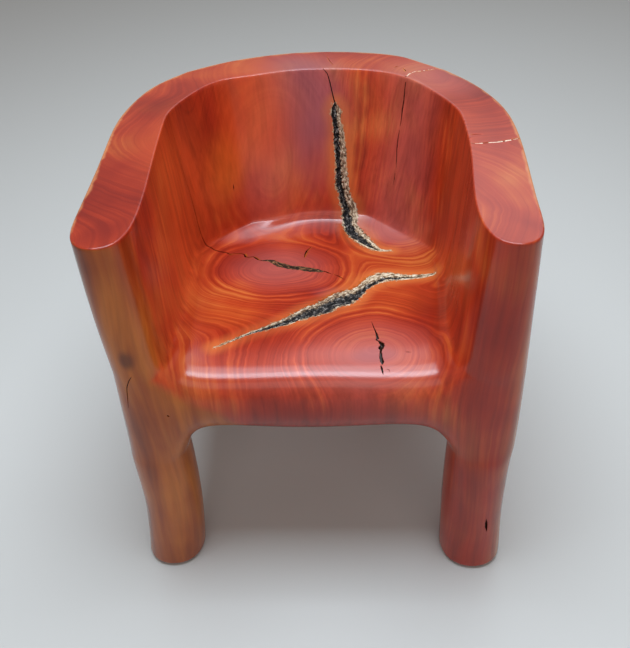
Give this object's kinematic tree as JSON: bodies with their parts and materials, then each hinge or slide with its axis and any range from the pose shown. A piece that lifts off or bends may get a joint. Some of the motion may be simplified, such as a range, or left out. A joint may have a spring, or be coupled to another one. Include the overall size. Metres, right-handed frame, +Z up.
{
  "type": "tree trunk armchair",
  "caption": "Barrel armchair carved from one log: flat-topped arms and back in a U, dished seat, round plumb legs, ingrown bark seams in the seat and back.",
  "frame": {"origin": "on the floor, under the middle of the chair", "axes": "+Z up; the open front faces -Y; +X is on the sitter's left, the right side of the picture"},
  "size_m": [0.6518, 0.6614, 0.7],
  "materials": {
    "varnished_wood": "red hardwood under gloss varnish, swirling grain and growth rings",
    "grey_bark": "rough weathered bark, nearly black in its depth",
    "brown_bark": "rough brown bark",
    "pale_filler": "crumbly pale filler",
    "felt": "matt brown felt"
  },
  "bodies": {
    "root": {"trunk": "varnished_wood", "seat_bark_seam": "grey_bark", "back_bark_seam": "grey_bark", "side_bark_seam": "brown_bark", "arm_crack_filler": "pale_filler", "rim_crack_filler": "pale_filler", "felt_glide_front_left": "felt", "felt_glide_front_right": "felt", "felt_glide_back_left": "felt", "felt_glide_back_right": "felt"}
  },
  "joints": []
}
